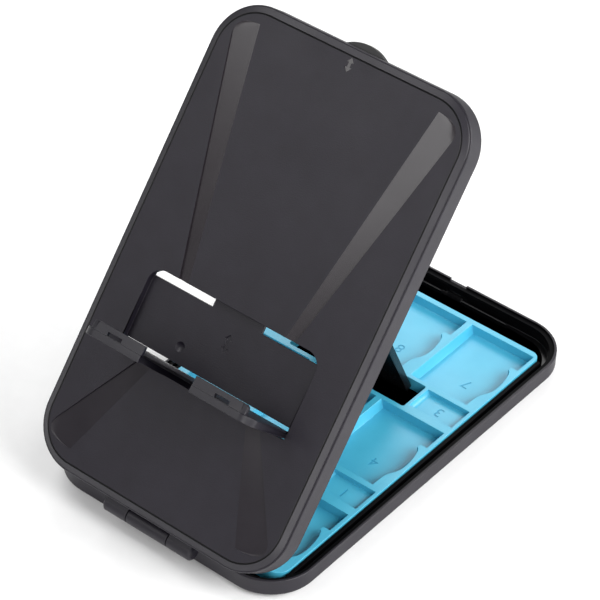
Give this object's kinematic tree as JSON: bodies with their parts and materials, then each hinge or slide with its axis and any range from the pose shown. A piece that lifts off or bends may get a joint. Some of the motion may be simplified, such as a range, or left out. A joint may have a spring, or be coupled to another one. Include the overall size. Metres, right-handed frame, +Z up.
{
  "type": "game card holder",
  "caption": "Hinged card case that opens into a stand: rounded shell, lid propped by a folding leg, fold-down ledge with a cable notch, blue tray with scooped pockets.",
  "frame": {"origin": "middle of the base shell's underside, the flat face between its four feet", "axes": "+X along the hinge, to the right of somebody who sits at the free end; +Y from the hinge towards the free end of the case; +Z up"},
  "size_m": [0.092, 0.1548, 0.1307],
  "materials": {
    "shell": "fine moulded grain, charcoal",
    "inner": "smooth black moulding",
    "ledge": "fine moulded grain, charcoal",
    "tray": "satin, light blue",
    "pin": "drawn steel pin",
    "foot": "dull black rubber"
  },
  "bodies": {
    "base": {"base_shell": "shell", "card_tray": "tray", "hinge_pin": "pin", "foot_hinge_left": "foot", "foot_hinge_right": "foot", "foot_front_left": "foot", "foot_front_right": "foot"},
    "lid": {"lid_shell": "shell", "thumb_latch": "inner"},
    "ledge": {"ledge_flap": "ledge"},
    "leg": {"prop_leg": "inner"}
  },
  "joints": [
    {"name": "lid_hinge", "type": "hinge", "parent": "base", "child": "lid", "pos_m": [0, -0.07735, 0.0072], "axis": [1, 0, 0], "range_deg": [0, 128.1]},
    {"name": "ledge_hinge", "type": "hinge", "parent": "lid", "child": "ledge", "pos_m": [0, -0.05441, 0.04634], "axis": [1, 0, 0], "range_deg": [-84, 0]},
    {"name": "leg_hinge", "type": "hinge", "parent": "lid", "child": "leg", "pos_m": [0, -0.01553, 0.08688], "axis": [1, 0, 0], "range_deg": [-63.9, 0]}
  ],
  "couplings": [
    {"joint": "leg_hinge", "follows": "lid_hinge", "ratio": -0.4988}
  ]
}
